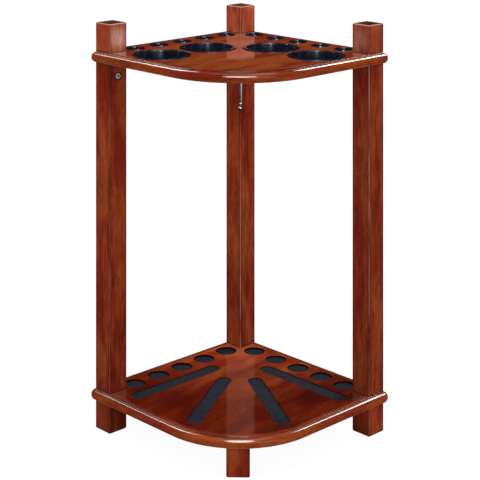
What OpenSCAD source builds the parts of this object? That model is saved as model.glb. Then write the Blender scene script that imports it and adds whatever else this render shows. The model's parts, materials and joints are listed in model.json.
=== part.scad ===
// Corner floor rack for pool cues.
// Three square posts stand at the corner of a room and carry two quarter-round
// shelves. The top shelf holds the cue shafts and four drinks, the bottom shelf
// the cue butts and a set of balls. +Z is up, the open front faces -Y and the
// origin is on the floor under the middle of the shelves' bounding box.

/* [Overall] */
// Height from the floor to the tops of the finials
overall_h = 762; // [700:1:900]
// Distance between post centres along each back edge
post_pitch = 340; // [336:1:352]

/* [Posts and feet] */
// Side of the square stock of posts, feet and finials
stock_side = 41.3; // [38:0.1:42]
// Rounding of the long edges of the stock
stock_round = 1.5; // [0.5:0.5:3]
// Height of each foot
foot_h = 54.5; // [48:0.5:60]
// Chamfer around the underside of each foot
foot_ease = 2.5; // [1:0.5:4]
// Height of each finial block
finial_h = 54; // [40:1:70]
// Chamfer around the top of each finial
finial_ease = 1.5; // [0.5:0.5:3]
// Distance from the front foot's centre back to the shelf's front edge
front_foot_inset = 36.5; // [36:0.5:44]

/* [Shelves] */
// Thickness of both shelves
shelf_t = 20.5; // [18:0.5:24]
// Distance from a post centre to the shelf's outer edge
shelf_margin = 30.5; // [30:0.5:32]
// Radius of the large front corner in plan
front_r = 168; // [150:1:180]
// Radius of the three small corners in plan
tip_r = 14; // [10:0.5:16]
// Width of the solid wood nosing around each panel
nosing_w = 17; // [14:0.5:17]
// Drop from the shelf's top face to the top of its rounded nose
nose_step = 1.6; // [1:0.1:2]

/* [Cue places] */
// Cue places along each back edge
cues_per_side = 5; // [3:1:5]
// Distance between neighbouring cues
cue_pitch = 60; // [56:1:60]
// Distance from the line of post centres in to the cue centres
cue_inset = 11; // [10:0.5:14]
// Inside diameter of the plastic cue ring
ring_bore_d = 31.6; // [30:0.1:32]
// Outside diameter of the cue ring's body
ring_body_d = 35; // [34.5:0.1:35.5]
// Outside diameter of the cue ring's flange
ring_flange_d = 38.4; // [37:0.1:40]
// Length of the cue ring below the shelf's top face
ring_l = 16; // [10:1:18]
// Diameter of the recess that a cue butt stands in
butt_d = 41.7; // [38:0.1:42]
// How far along the back edge each butt recess is past its ring, so that cues lean back
butt_along = 3.5; // [0:0.5:4]
// How far in from its ring each butt recess is, for the same lean
butt_in = 2.5; // [0:0.5:3]
// Depth of the butt recess
butt_depth = 5; // [3:0.5:8]
// Thickness of the felt pad in the butt recess
butt_felt_t = 2; // [1:0.5:3]

/* [Cup holders] */
// Outside diameter of the cup holder's flange
cup_flange_d = 109; // [100:1:109]
// Inside diameter of the cup holder's mouth
cup_mouth_d = 91; // [84:1:92]
// Depth of the cup holder below the shelf's top face
cup_depth = 26; // [22:1:28]
// Narrowing of the cup holder's wall from mouth to floor, on the diameter
cup_draft = 5; // [2:1:8]
// Distance from the line of post centres in to the cup centres
cup_inset = 99.5; // [94:0.5:100]
// Distance between the two cup holders on each side
cup_pitch = 117.5; // [114:0.5:118]
// Distance from a post centre to its nearer cup holder, along the back edge
cup_from_post = 38.5; // [38:0.5:46]

/* [Ball rests] */
// Width of the felt strip that a row of balls sits on
strip_w = 29; // [22:0.5:29.5]
// Overall length of a felt strip
strip_l = 217; // [180:1:218]
// Depth of the groove that holds a strip
strip_depth = 3; // [2:0.5:4]
// Thickness of the felt strip
strip_felt_t = 1.8; // [1:0.1:2]
// Distance from the line of post centres in to the outer strip
strip_inset = 61.5; // [58:0.5:62]
// Distance from the back post to the near end of the outer strip
strip_start = 122; // [110:1:123]
// Distance from the line of post centres in to the start of the inner strip
inner_inset = 119; // [116:0.5:120]
// How far along the back edge the inner strip starts past the outer one
inner_lead = 24.5; // [22:0.5:26]
// Angle between the back edge and the inner strip
strip_angle = 30; // [28:1:32]

/* [Hook] */
// Diameter of the hook's rod at the bend
hook_rod_d = 5.6; // [5:0.1:6]
// Diameter of the ball on the hook's tip
hook_ball_d = 9.5; // [8:0.1:10]
// Drop from the shelf's underside to the lowest point of the bend
hook_drop = 50; // [40:1:60]

/* [Hidden] */
$fn = 96;

// Heights of the faces in the stack: foot, shelf, post, shelf, finial
bottom_under = foot_h;
bottom_top = bottom_under + shelf_t;
top_top = overall_h - finial_h;
top_under = top_top - shelf_t;

// The shelf in plan, in the corner's own axes with the back post at 0, 0
shelf_lo = -shelf_margin;
shelf_hi = post_pitch + shelf_margin;
front_c = shelf_hi - front_r;
front_reach = front_c * sqrt(2) + front_r;
back_reach = shelf_margin * sqrt(2) - tip_r * (sqrt(2) - 1);
origin_y = (front_reach - back_reach) / 2;
nose_r = (shelf_t - nose_step) / 2;

// Gaps: a slip fit for dowels and bolts, a running fit for the cams,
// a glue line behind the nosing and slack around each felt piece
slip = 0.05;
cam_gap = 0.07;
glue = 0.05;
felt_gap = 0.25;
// Overshoot of a cut past the face it opens
cut = 1;

// Posts: where each stands and which way its cam faces, in the corner's axes
BACK = 0;
LEFT = 1;
RIGHT = 2;
post_xy = [[0, 0], [post_pitch, 0], [0, post_pitch]];
cam_turn = [180, 90, 180];
// Which way along its local X each post has its lower dowel: away from the walls
inward = [-1, 1, -1];

// Cam lock, lying with its axis square to the post's face
cam_r = 7.5;
cam_l = 17;
cam_sunk = 0.3;
cam_below = 24;
cam_z = top_under - cam_below;
cam_bolt_depth = 12;
cam_bolt_x = stock_side / 2 - cam_bolt_depth;
cam_hub_r = 1.9;
cam_cave_r = 6.3;
cam_cave_w = 7.8;
cam_slot_w = 5.4;
cam_slot_from = -25;
cam_slot_sweep = 230;
cam_cross_l = 9;
cam_cross_w = 1.8;
cam_cross_depth = 2.4;

// Bolt that the cam pulls on, threaded into the finial
cam_head_r = 3.5;
cam_head_h = 2.6;
cam_head_gap = 2.2;
cam_neck_r = 2.5;
cam_thread_r = 3.1;
cam_thread_l = 11;
cam_bolt_hole_r = 3.8;

// Foot bolt with a hex socket, and the insert it threads into
bolt_r = 3;
bolt_head_r = 5;
bolt_head_h = 6;
bolt_hex_r = 2.9;
bolt_hex_depth = 3;
bolt_hole_r = 3.3;
bore_r = 6;
bore_depth = 25;
insert_r = 5;
insert_l = 15;
insert_rib = 0.5;
bolt_in_insert = 14;

// Wooden dowels that stop the square stock from turning
dowel_r = 4;
dowel_in = 18;
dowel_blind = 12;
dowel_chamfer = 1;
upper_dowel_x = -8;
lower_dowel_x = 12;

// Cue ring, cup holder and hook details
ring_lip = 1.4;
cup_wall = 2;
cup_lip = 2;
cup_hole_d = cup_mouth_d + 2 * cup_wall + 1;
hook_x = 4;
hook_inset = 36;
hook_turn = -5;
hook_bend_r = 9;
hook_bend_sweep = 130;
hook_top_r = 3.5;
hook_collar_r = 4.6;
hook_collar_h = 2.5;
hook_screw_r = 1.8;
hook_screw_l = 13;

WOOD = "#7d2c18";
PANEL = "#8c3a1f";
BLACK = "#16181c";
FELT = "#2b3342";
ZINC = "#a9abad";
NICKEL = "#c9c6bd";
BEECH = "#d2b184";
BRASS = "#b8994f";

// ---- Placing ----

// From the corner's axes, back edges along +X and +Y, to the rack's axes
module in_corner() {
    translate([0, origin_y, 0])
        rotate([0, 0, -135])
            children();
}

// At one post, with its cam face towards local +X
module at_post(i) {
    in_corner()
        translate(post_xy[i])
            rotate([0, 0, cam_turn[i]])
                children();
}

// At the front foot, with local +X towards the back post
module at_front_foot() {
    translate([0, origin_y - front_reach + front_foot_inset, 0])
        rotate([0, 0, 90])
            children();
}

// At every cue place, in the corner's axes, moved on along the back edge and in from it
module at_cues(move_along = 0, move_in = 0) {
    first = post_pitch / 2 - (cues_per_side - 1) / 2 * cue_pitch + move_along;
    inset = cue_inset + move_in;
    for (i = [0 : cues_per_side - 1]) {
        along = first + i * cue_pitch;
        translate([along, inset, 0])
            children();
        translate([inset, along, 0])
            children();
    }
}

// At one cup holder: n is 0 for the one by the post, 1 for the next one in
module at_cup(side, n) {
    along = post_pitch - cup_from_post - n * cup_pitch;
    in_corner()
        translate(side == LEFT ? [along, cup_inset, 0] : [cup_inset, along, 0])
            children();
}

// ---- Stock: posts, feet and finials ----

module stock_section() {
    inner = stock_side - 2 * stock_round;
    square([stock_side, inner], center = true);
    square([inner, stock_side], center = true);
    for (x = [-1, 1])
        for (y = [-1, 1])
            translate([x * inner / 2, y * inner / 2])
                circle(r = stock_round);
}

// Four cuts that chamfer the edges of one end face of the stock
module end_chamfers(z, ease) {
    for (turn = [0 : 90 : 270])
        rotate([0, 0, turn])
            translate([stock_side / 2, 0, z])
                rotate([0, 45, 0])
                    cube([ease * sqrt(2), 2 * stock_side, ease * sqrt(2)], center = true);
}

module foot(dowel_x) {
    difference() {
        linear_extrude(foot_h)
            stock_section();
        end_chamfers(0, foot_ease);
        translate([0, 0, -cut])
            cylinder(r = bore_r, h = bore_depth + cut);
        cylinder(r = bolt_hole_r, h = foot_h + cut);
        translate([dowel_x, 0, foot_h - dowel_in - cut])
            cylinder(r = dowel_r + slip, h = dowel_in + 2 * cut);
    }
}

module finial() {
    difference() {
        translate([0, 0, top_top])
            linear_extrude(finial_h)
                stock_section();
        end_chamfers(overall_h, finial_ease);
        translate([cam_bolt_x, 0, top_top - cut])
            cylinder(r = cam_thread_r + slip, h = cam_thread_l + 2 * cut);
        translate([upper_dowel_x, 0, top_top - cut])
            cylinder(r = dowel_r + slip, h = dowel_in + 2 * cut);
    }
}

module post(dowel_x) {
    face = stock_side / 2;
    pocket_r = cam_r + cam_gap;
    pocket_l = cam_l + cam_sunk + 0.2;
    mouth = 0.7;
    difference() {
        translate([0, 0, bottom_top])
            linear_extrude(top_under - bottom_top)
                stock_section();
        // Cam pocket with an eased mouth, and the bore its bolt comes down
        translate([face - pocket_l, 0, cam_z])
            rotate([0, 90, 0])
                cylinder(r = pocket_r, h = pocket_l + cut);
        translate([face - mouth, 0, cam_z])
            rotate([0, 90, 0])
                cylinder(r1 = pocket_r, r2 = pocket_r + 2 * mouth, h = 2 * mouth);
        translate([cam_bolt_x, 0, cam_z])
            cylinder(r = cam_bolt_hole_r, h = cam_below + cut);
        // Dowel holes in both ends, and the insert's hole in the lower one
        translate([upper_dowel_x, 0, top_under - dowel_in - cut])
            cylinder(r = dowel_r + slip, h = dowel_in + 2 * cut);
        translate([dowel_x, 0, bottom_top - cut])
            cylinder(r = dowel_r + slip, h = dowel_in + 2 * cut);
        translate([0, 0, bottom_top - cut])
            cylinder(r = insert_r + slip, h = insert_l + 3 * cut);
    }
}

// ---- Shelves ----

// Plan of the shelf, drawn in from its edge by d, with small corners of tip
module shelf_plan(d, tip) {
    lo = shelf_lo + d;
    hi = shelf_hi - d;
    translate([lo + tip, lo])
        square([front_c - lo - tip, hi - lo]);
    translate([lo, lo + tip])
        square([hi - lo, front_c - lo - tip]);
    translate([front_c - cut, lo])
        square([hi - tip - front_c + cut, tip + cut]);
    translate([lo, front_c - cut])
        square([tip + cut, hi - tip - front_c + cut]);
    translate([front_c, front_c])
        circle(r = front_r - d);
    if (tip > 0)
        for (at = [[lo + tip, lo + tip], [hi - tip, lo + tip], [lo + tip, hi - tip]])
            translate(at)
                circle(r = tip);
}

// Half of the nose's section, on the outer side of its own centre
module nose_half() {
    intersection() {
        translate([0, nose_r])
            circle(r = nose_r);
        square([nose_r, 2 * nose_r]);
    }
}

// Quarter turn of the nose around a corner of the given radius
module nose_corner(at, from, r) {
    translate(at)
        rotate([0, 0, from])
            rotate_extrude(angle = 90)
                translate([r - nose_r, 0])
                    nose_half();
}

// Straight nose of length l along +X, its round side towards -Y
module nose_run(at, turn, l) {
    translate(at)
        rotate([0, 0, turn])
            rotate([90, 0, 90])
                linear_extrude(l)
                    mirror([1, 0])
                        nose_half();
}

// The rounded rim that stands outside the shelf's flat core
module nose_rim() {
    lo = shelf_lo + nose_r;
    hi = shelf_hi - nose_r;
    tip_lo = shelf_lo + tip_r;
    tip_hi = shelf_hi - tip_r;
    back_l = tip_hi - tip_lo;
    side_l = front_c - tip_lo;
    nose_run([tip_lo, lo, 0], 0, back_l);
    nose_run([lo, tip_hi, 0], -90, back_l);
    nose_run([hi, tip_lo, 0], 90, side_l);
    nose_run([front_c, hi, 0], 180, side_l);
    nose_corner([tip_lo, tip_lo, 0], 180, tip_r);
    nose_corner([tip_hi, tip_lo, 0], 270, tip_r);
    nose_corner([tip_lo, tip_hi, 0], 90, tip_r);
    nose_corner([front_c, front_c, 0], 0, front_r);
}

module nosing(z) {
    in_corner()
        translate([0, 0, z]) {
            difference() {
                linear_extrude(shelf_t)
                    shelf_plan(nose_r, tip_r - nose_r);
                translate([0, 0, -cut])
                    linear_extrude(shelf_t + 2 * cut)
                        shelf_plan(nosing_w, 0);
            }
            nose_rim();
        }
}

module panel() {
    linear_extrude(shelf_t)
        shelf_plan(nosing_w + glue, 0);
}

// Plan of one felt strip or its groove; grow is negative for the felt
module strip_plan(grow) {
    run = strip_l - strip_w;
    r = strip_w / 2 + grow;
    translate([0, -r])
        square([run, 2 * r]);
    circle(r = r);
    translate([run, 0])
        circle(r = r);
}

// At one strip, with its length along local +X: n is 0 outside, 1 inside
module at_strip(side, n) {
    near = strip_start + strip_w / 2;
    mirror(side == LEFT ? [0, 0, 0] : [1, -1, 0])
        translate(n == 0 ? [near, strip_inset, 0] : [near + inner_lead, inner_inset, 0])
            rotate([0, 0, n * strip_angle])
                children();
}

module bottom_shelf() {
    color(PANEL) {
        difference() {
            in_corner()
                translate([0, 0, bottom_under])
                    panel();
            for (i = [BACK, LEFT, RIGHT])
                at_post(i)
                    translate([0, 0, bottom_under - cut]) {
                        cylinder(r = bolt_hole_r, h = shelf_t + 2 * cut);
                        translate([inward[i] * lower_dowel_x, 0, 0])
                            cylinder(r = dowel_r + slip, h = shelf_t + 2 * cut);
                    }
            at_front_foot()
                translate([0, 0, bottom_under - cut]) {
                    cylinder(r = insert_r + slip, h = insert_l + 2 * cut);
                    translate([lower_dowel_x, 0, 0])
                        cylinder(r = dowel_r + slip, h = dowel_blind + 2 * cut);
                }
            in_corner()
                at_cues(butt_along, butt_in)
                    translate([0, 0, bottom_top - butt_depth])
                        cylinder(d = butt_d, h = butt_depth + cut);
            in_corner()
                for (side = [LEFT, RIGHT])
                    for (n = [0, 1])
                        at_strip(side, n)
                            translate([0, 0, bottom_top - strip_depth])
                                linear_extrude(strip_depth + cut)
                                    strip_plan(0);
        }
    }
}

module top_shelf() {
    color(PANEL) {
        difference() {
            in_corner()
                translate([0, 0, top_under])
                    panel();
            for (i = [BACK, LEFT, RIGHT])
                at_post(i)
                    translate([0, 0, top_under - cut]) {
                        translate([cam_bolt_x, 0, 0])
                            cylinder(r = cam_bolt_hole_r, h = shelf_t + 2 * cut);
                        translate([upper_dowel_x, 0, 0])
                            cylinder(r = dowel_r + slip, h = shelf_t + 2 * cut);
                    }
            in_corner()
                at_cues()
                    translate([0, 0, top_under - cut])
                        cylinder(d = ring_body_d + 2 * slip, h = shelf_t + 2 * cut);
            for (side = [LEFT, RIGHT])
                for (n = [0, 1])
                    at_cup(side, n)
                        translate([0, 0, top_under - cut])
                            cylinder(d = cup_hole_d, h = shelf_t + 2 * cut);
            at_hook()
                translate([0, 0, -cut])
                    cylinder(r = hook_screw_r + slip, h = hook_screw_l + 2 * cut);
        }
    }
}

// ---- Fittings on the shelves ----

// Section of a domed ring lip between two radii, standing on the shelf
module lip_section(inner_r, outer_r, rise) {
    span = outer_r - inner_r;
    dome_r = (span * span / 4 + rise * rise) / (2 * rise);
    intersection() {
        translate([(inner_r + outer_r) / 2, rise - dome_r])
            circle(r = dome_r);
        translate([inner_r, 0])
            square([span, rise]);
    }
}

module cue_rings() {
    color(BLACK)
        in_corner()
            at_cues()
                translate([0, 0, top_top])
                    rotate_extrude() {
                        lip_section(ring_bore_d / 2, ring_flange_d / 2, ring_lip);
                        translate([ring_bore_d / 2, -ring_l])
                            square([(ring_body_d - ring_bore_d) / 2, ring_l + ring_lip / 4]);
                    }
}

module cup(side, n) {
    mouth_r = cup_mouth_d / 2;
    floor_r = mouth_r - cup_draft / 2;
    color(BLACK)
        at_cup(side, n)
            translate([0, 0, top_top])
                rotate_extrude() {
                    lip_section(mouth_r, cup_flange_d / 2, cup_lip);
                    polygon([[0, -cup_depth], [floor_r + cup_wall, -cup_depth],
                             [mouth_r + cup_wall, 0], [mouth_r + cup_wall, cup_lip / 4],
                             [mouth_r, cup_lip / 4], [mouth_r, 0],
                             [floor_r, cup_wall - cup_depth], [0, cup_wall - cup_depth]]);
                }
}

module butt_pads() {
    color(FELT)
        in_corner()
            at_cues(butt_along, butt_in)
                translate([0, 0, bottom_top - butt_depth])
                    cylinder(r = butt_d / 2 - felt_gap, h = butt_felt_t);
}

module strip(side, n) {
    color(FELT)
        in_corner()
            at_strip(side, n)
                translate([0, 0, bottom_top - strip_depth])
                    linear_extrude(strip_felt_t)
                        strip_plan(-felt_gap);
}

// At the hook's rod, on the underside of the top shelf, its tip towards -Y
module at_hook() {
    translate([hook_x, origin_y - front_reach + hook_inset, top_under])
        rotate([0, 0, hook_turn])
            children();
}

module hook() {
    $fn = 40;
    rod_r = hook_rod_d / 2;
    bend_z = rod_r + hook_bend_r - hook_drop;
    shank_z = bend_z - 0.6; // the bend runs up into the shank's end, which is a little wider
    tip_y = hook_bend_r * (cos(hook_bend_sweep) - 1);
    tip_z = bend_z - hook_bend_r * sin(hook_bend_sweep);
    color(NICKEL)
        at_hook() {
            translate([0, 0, -hook_collar_h / 2])
                cylinder(r = hook_screw_r, h = hook_screw_l + hook_collar_h / 2);
            translate([0, 0, -hook_collar_h])
                cylinder(r = hook_collar_r, h = hook_collar_h);
            translate([0, 0, shank_z])
                cylinder(r1 = rod_r + 0.2, r2 = hook_top_r, h = -shank_z - hook_collar_h / 2);
            translate([0, -hook_bend_r, bend_z])
                rotate([90, 0, 90])
                    rotate([0, 0, -hook_bend_sweep])
                        rotate_extrude(angle = hook_bend_sweep)
                            translate([hook_bend_r, 0])
                                circle(r = rod_r);
            translate([0, tip_y, tip_z])
                sphere(d = hook_ball_d);
        }
}

// ---- Hardware ----

// The cam's axis is local Z and its bolt comes in from local -X
module cam_lock(i) {
    front = stock_side / 2 - cam_sunk - cam_bolt_x;
    back = front - cam_l;
    color(ZINC)
        at_post(i)
            translate([cam_bolt_x, 0, cam_z])
                rotate([0, 90, 0])
                    difference() {
                        translate([0, 0, back])
                            cylinder(r = cam_r, h = cam_l);
                        // Room for the bolt's head all round the hub
                        rotate_extrude()
                            translate([cam_hub_r, -cam_cave_w / 2])
                                square([cam_cave_r - cam_hub_r, cam_cave_w]);
                        // Slot that the bolt's neck runs in as the cam turns
                        rotate([0, 0, cam_slot_from])
                            rotate_extrude(angle = cam_slot_sweep)
                                translate([cam_cave_r - cut, -cam_slot_w / 2])
                                    square([cam_r - cam_cave_r + 2 * cut, cam_slot_w]);
                        // Entry for the head at the open end of the slot
                        translate([cam_cave_r - 2 * cut, 0, 0])
                            rotate([0, 90, 0])
                                cylinder(r = cam_head_r + 0.3, h = cam_r);
                        // Cross recess for a screwdriver
                        for (turn = [0, 90])
                            rotate([0, 0, turn])
                                translate([0, 0, front])
                                    cube([cam_cross_l, cam_cross_w, 2 * cam_cross_depth], center = true);
                    }
}

module cam_bolts() {
    head_z = cam_z + cam_head_gap;
    neck_z = head_z + cam_head_h;
    color(ZINC)
        for (i = [BACK, LEFT, RIGHT])
            at_post(i)
                translate([cam_bolt_x, 0, 0]) {
                    translate([0, 0, head_z])
                        cylinder(r = cam_head_r, h = cam_head_h);
                    translate([0, 0, neck_z - slip])
                        cylinder(r = cam_neck_r, h = top_top - neck_z + 2 * slip);
                    translate([0, 0, top_top])
                        cylinder(r = cam_thread_r, h = cam_thread_l);
                }
}

// Socket head bolt with its head against the counterbore, shank upwards
module socket_bolt(shank_l) {
    difference() {
        union() {
            translate([0, 0, bore_depth - bolt_head_h])
                cylinder(r = bolt_head_r, h = bolt_head_h);
            translate([0, 0, bore_depth - slip])
                cylinder(r = bolt_r, h = shank_l + slip);
        }
        translate([0, 0, bore_depth - bolt_head_h - cut])
            cylinder(r = bolt_hex_r, h = bolt_hex_depth + cut, $fn = 6);
    }
}

module foot_bolts() {
    color(ZINC)
        for (i = [BACK, LEFT, RIGHT])
            at_post(i)
                socket_bolt(bottom_top - bore_depth + bolt_in_insert);
}

module front_foot_bolt() {
    color(ZINC)
        at_front_foot()
            socket_bolt(bottom_under - bore_depth + bolt_in_insert);
}

// Ribbed insert with its mouth at z
module threaded_insert(z) {
    ribs = 4;
    pitch = insert_l / ribs;
    translate([0, 0, z])
        difference() {
            union() {
                cylinder(r = insert_r - insert_rib, h = insert_l);
                for (k = [0 : ribs - 1])
                    translate([0, 0, k * pitch])
                        cylinder(r = insert_r, h = pitch / 2);
            }
            translate([0, 0, -cut])
                cylinder(r = bolt_r + slip, h = insert_l + 2 * cut);
        }
}

module threaded_inserts() {
    color(BRASS) {
        for (i = [BACK, LEFT, RIGHT])
            at_post(i)
                threaded_insert(bottom_top);
        at_front_foot()
            threaded_insert(bottom_under);
    }
}

// Dowel of length l from z up, chamfered at both ends
module dowel(z, l) {
    translate([0, 0, z]) {
        cylinder(r1 = dowel_r - dowel_chamfer, r2 = dowel_r, h = dowel_chamfer);
        translate([0, 0, dowel_chamfer])
            cylinder(r = dowel_r, h = l - 2 * dowel_chamfer);
        translate([0, 0, l - dowel_chamfer])
            cylinder(r1 = dowel_r, r2 = dowel_r - dowel_chamfer, h = dowel_chamfer);
    }
}

module upper_dowels() {
    color(BEECH)
        for (i = [BACK, LEFT, RIGHT])
            at_post(i)
                translate([upper_dowel_x, 0, 0])
                    dowel(top_under - dowel_in, shelf_t + 2 * dowel_in);
}

module lower_dowels() {
    color(BEECH)
        for (i = [BACK, LEFT, RIGHT])
            at_post(i)
                translate([inward[i] * lower_dowel_x, 0, 0])
                    dowel(bottom_under - dowel_in, shelf_t + 2 * dowel_in);
}

module front_foot_dowel() {
    color(BEECH)
        at_front_foot()
            translate([lower_dowel_x, 0, 0])
                dowel(bottom_under - dowel_in, dowel_in + dowel_blind);
}

// ---- Named pieces that repeat a form ----

module stand_foot(i) {
    color(WOOD)
        at_post(i)
            foot(inward[i] * lower_dowel_x);
}

module front_foot() {
    color(WOOD)
        at_front_foot()
            foot(lower_dowel_x);
}

module stand_post(i) {
    color(WOOD)
        at_post(i)
            post(inward[i] * lower_dowel_x);
}

module stand_finial(i) {
    color(WOOD)
        at_post(i)
            finial();
}

module bottom_nosing() {
    color(WOOD)
        nosing(bottom_under);
}

module top_nosing() {
    color(WOOD)
        nosing(top_under);
}

stand_foot(BACK);  // back_foot
stand_foot(LEFT);  // left_foot
stand_foot(RIGHT);  // right_foot
front_foot();
bottom_shelf();
bottom_nosing();
stand_post(BACK);  // back_post
stand_post(LEFT);  // left_post
stand_post(RIGHT);  // right_post
top_shelf();
top_nosing();
stand_finial(BACK);  // back_finial
stand_finial(LEFT);  // left_finial
stand_finial(RIGHT);  // right_finial
cup(LEFT, 0);  // cup_left_outer
cup(LEFT, 1);  // cup_left_inner
cup(RIGHT, 1);  // cup_right_inner
cup(RIGHT, 0);  // cup_right_outer
cue_rings();
butt_pads();
strip(LEFT, 0);  // strip_left_outer
strip(LEFT, 1);  // strip_left_inner
strip(RIGHT, 1);  // strip_right_inner
strip(RIGHT, 0);  // strip_right_outer
hook();
cam_lock(BACK);  // back_cam
cam_lock(LEFT);  // left_cam
cam_lock(RIGHT);  // right_cam
cam_bolts();
foot_bolts();
front_foot_bolt();
threaded_inserts();
upper_dowels();
lower_dowels();
front_foot_dowel();
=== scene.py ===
"""The looks of the corner cue rack: lacquered wood, felt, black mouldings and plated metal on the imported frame."""

import json
import math

import bmesh
import bpy
from mathutils import Matrix, Vector, noise


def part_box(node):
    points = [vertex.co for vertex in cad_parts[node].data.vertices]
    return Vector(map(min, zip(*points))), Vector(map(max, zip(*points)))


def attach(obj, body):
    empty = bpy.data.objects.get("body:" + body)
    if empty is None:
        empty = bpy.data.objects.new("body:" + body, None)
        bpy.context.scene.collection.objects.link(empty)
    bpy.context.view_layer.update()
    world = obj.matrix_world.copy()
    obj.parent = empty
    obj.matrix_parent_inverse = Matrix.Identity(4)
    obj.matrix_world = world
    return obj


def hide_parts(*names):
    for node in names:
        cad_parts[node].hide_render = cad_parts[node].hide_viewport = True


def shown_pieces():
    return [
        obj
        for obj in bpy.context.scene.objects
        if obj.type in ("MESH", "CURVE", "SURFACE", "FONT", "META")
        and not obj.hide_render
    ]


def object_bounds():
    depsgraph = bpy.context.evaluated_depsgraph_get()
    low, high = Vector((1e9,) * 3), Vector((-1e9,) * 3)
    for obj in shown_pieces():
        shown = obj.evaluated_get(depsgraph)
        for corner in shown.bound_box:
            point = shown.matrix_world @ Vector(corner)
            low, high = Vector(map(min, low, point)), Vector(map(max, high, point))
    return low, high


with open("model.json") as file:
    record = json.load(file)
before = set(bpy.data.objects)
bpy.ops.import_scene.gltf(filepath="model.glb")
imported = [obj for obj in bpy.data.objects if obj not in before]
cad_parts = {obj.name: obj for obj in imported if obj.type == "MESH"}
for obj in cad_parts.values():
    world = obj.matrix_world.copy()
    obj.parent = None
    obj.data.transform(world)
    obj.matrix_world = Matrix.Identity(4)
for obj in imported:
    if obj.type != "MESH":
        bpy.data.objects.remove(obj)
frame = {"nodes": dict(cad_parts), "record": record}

CAD_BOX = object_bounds()
MM = 0.001
ROOT2 = math.sqrt(2)

# ---- Places, worked out from the frame ----

UP = Vector((0, 0, 1))
ALONG_LEFT = Vector((-1, -1, 0)).normalized()
ALONG_RIGHT = Vector((1, -1, 0)).normalized()
SIDES = ("left", "right")


def reach(name, direction):
    """Lowest and highest extent of a CAD node along a direction."""
    spans = [vertex.co.dot(direction) for vertex in frame["nodes"][name].data.vertices]
    return min(spans), max(spans)


def middle(name):
    low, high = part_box(name)
    return (low + high) / 2


CORNER = middle("back_post")
CORNER.z = 0


def place(side, along, across, z):
    """A point from the back post: along one back edge, and across from it into the rack."""
    ways = (ALONG_LEFT, ALONG_RIGHT) if side == "left" else (ALONG_RIGHT, ALONG_LEFT)
    return CORNER + ways[0] * along + ways[1] * across + UP * z


EDGE_LOW = reach("top_nosing", ALONG_LEFT)[0] - CORNER.dot(ALONG_LEFT)
EDGE_HIGH = reach("top_nosing", ALONG_LEFT)[1] - CORNER.dot(ALONG_LEFT)
FRONT_REACH = CORNER.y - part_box("top_nosing")[0].y
BACK_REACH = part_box("top_nosing")[1].y - CORNER.y
FRONT_RADIUS = (EDGE_HIGH * ROOT2 - FRONT_REACH) / (ROOT2 - 1)
TIP_RADIUS = (-EDGE_LOW * ROOT2 - BACK_REACH) / (ROOT2 - 1)
POST_PITCH = (middle("left_post") - middle("back_post")).length


# ---- Meshes ----

def finish_mesh(name, bm, material, body, sharp_angle=35):
    """Turns a bmesh into a smooth-shaded piece that rides on a body."""
    bmesh.ops.recalc_face_normals(bm, faces=bm.faces)
    mesh = bpy.data.meshes.new(name)
    bm.to_mesh(mesh)
    bm.free()
    mesh.polygons.foreach_set("use_smooth", [True] * len(mesh.polygons))
    mesh.set_sharp_from_angle(angle=math.radians(sharp_angle))
    mesh.materials.append(material)
    piece = bpy.data.objects.new(name, mesh)
    bpy.context.scene.collection.objects.link(piece)
    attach(piece, body)
    return piece


def arc(centre, radius, start, end, steps):
    """Points (r, z) along an arc, angles in degrees from the +r direction."""
    angles = [math.radians(start + (end - start) * i / steps) for i in range(steps + 1)]
    return [(centre[0] + radius * math.cos(a), centre[1] + radius * math.sin(a)) for a in angles]


def lathe(bm, profile, centre, steps):
    """Revolves a closed (r, z) outline about a vertical axis; a point at r 0 becomes a pole."""
    rings = []
    for r, z in profile:
        if r < 1e-7:
            rings.append([bm.verts.new(centre + UP * z)] * steps)
            continue
        turn = [2 * math.pi * k / steps for k in range(steps)]
        rings.append([bm.verts.new(centre + Vector((r * math.cos(a), r * math.sin(a), z))) for a in turn])
    for a, b in zip(rings, rings[1:] + rings[:1]):
        for k in range(steps):
            corners = [a[k], a[(k + 1) % steps], b[(k + 1) % steps], b[k]]
            unique = list(dict.fromkeys(corners))
            if len(unique) > 2:
                bm.faces.new(unique)


def stadium(length, steps_end, steps_side):
    """Outline of a round-ended strip along +X from its first centre, as (angle, along) pairs."""
    half = [(90 + 180 * i / steps_end, 0.0) for i in range(steps_end)]
    half += [(270, length * i / steps_side) for i in range(steps_side)]
    half += [(270 + 180 * i / steps_end, length) for i in range(steps_end)]
    half += [(90, length * (1 - i / steps_side)) for i in range(steps_side)]
    return [(math.radians(angle), along) for angle, along in half]


# ---- Shader nodes ----

def add(tree, kind, inputs=(), **props):
    """Adds a node. Inputs are keyed by name or place; a socket is linked, anything else is a value."""
    made = tree.nodes.new("ShaderNode" + kind)
    for key, value in props.items():
        setattr(made, key, value)
    for key, value in dict(inputs).items():
        if isinstance(value, bpy.types.NodeSocket):
            tree.links.new(value, made.inputs[key])
        else:
            made.inputs[key].default_value = value
    return made


def calc(tree, operation, a, b=0.0, clamp=False):
    return add(tree, "Math", {0: a, 1: b}, operation=operation, use_clamp=clamp).outputs[0]


def vector(tree, operation, a, b=(0, 0, 0)):
    return add(tree, "VectorMath", {0: a, 1: b}, operation=operation).outputs[0]


def mix(tree, factor, a, b, blend="MIX"):
    made = add(tree, "Mix", {0: factor, 6: a, 7: b}, data_type="RGBA", blend_type=blend, clamp_result=False)
    return made.outputs[2]


def fade(tree, value, low, high, to_low=0.0, to_high=1.0):
    """Smooth step of a value from low to high."""
    made = add(tree, "MapRange", {0: value, 1: low, 2: high, 3: to_low, 4: to_high}, interpolation_type="SMOOTHSTEP")
    return made.outputs[0]


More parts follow.
